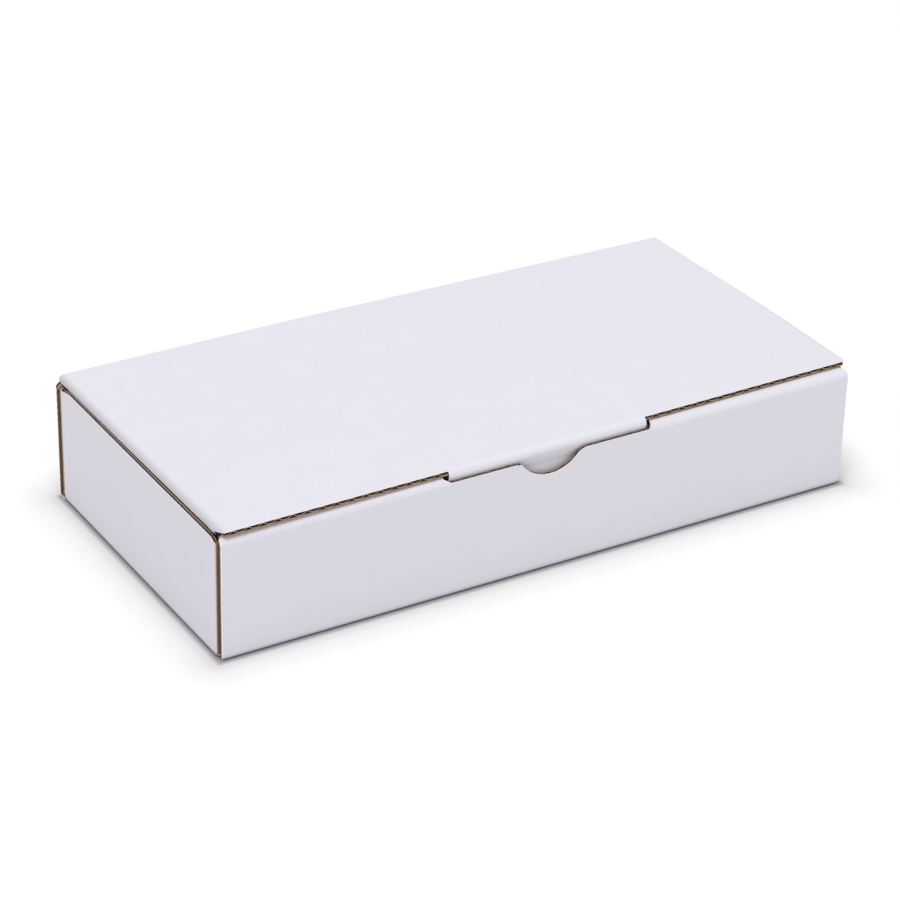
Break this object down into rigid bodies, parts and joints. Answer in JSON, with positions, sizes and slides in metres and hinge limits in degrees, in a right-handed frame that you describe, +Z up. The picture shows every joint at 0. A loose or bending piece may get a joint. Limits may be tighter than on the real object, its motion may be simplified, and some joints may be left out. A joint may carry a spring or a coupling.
{
  "type": "corrugated mailer box",
  "caption": "Flat oblong mailer box folded from a sheet of white-faced corrugated board, with a double front wall, a thumb notch, and a hinged lid whose tuck tab slips behind the front.",
  "frame": {"origin": "middle of the underside of the closed box", "axes": "+X along the length, from the left end to the right end; +Y from the thumb-notch front to the hinge at the back; +Z up"},
  "size_m": [0.308, 0.1534, 0.0598],
  "materials": {
    "white_board": "uncoated white paper liner outside, brown kraft at the cut edges and inside"
  },
  "bodies": {
    "tray": {"tray": "white_board"},
    "lid": {"lid": "white_board"}
  },
  "joints": [
    {"name": "lid_hinge", "type": "hinge", "parent": "tray", "child": "lid", "pos_m": [0, 0.07535, 0.05845], "axis": [-1, 0, 0], "range_deg": [0, 180]}
  ]
}
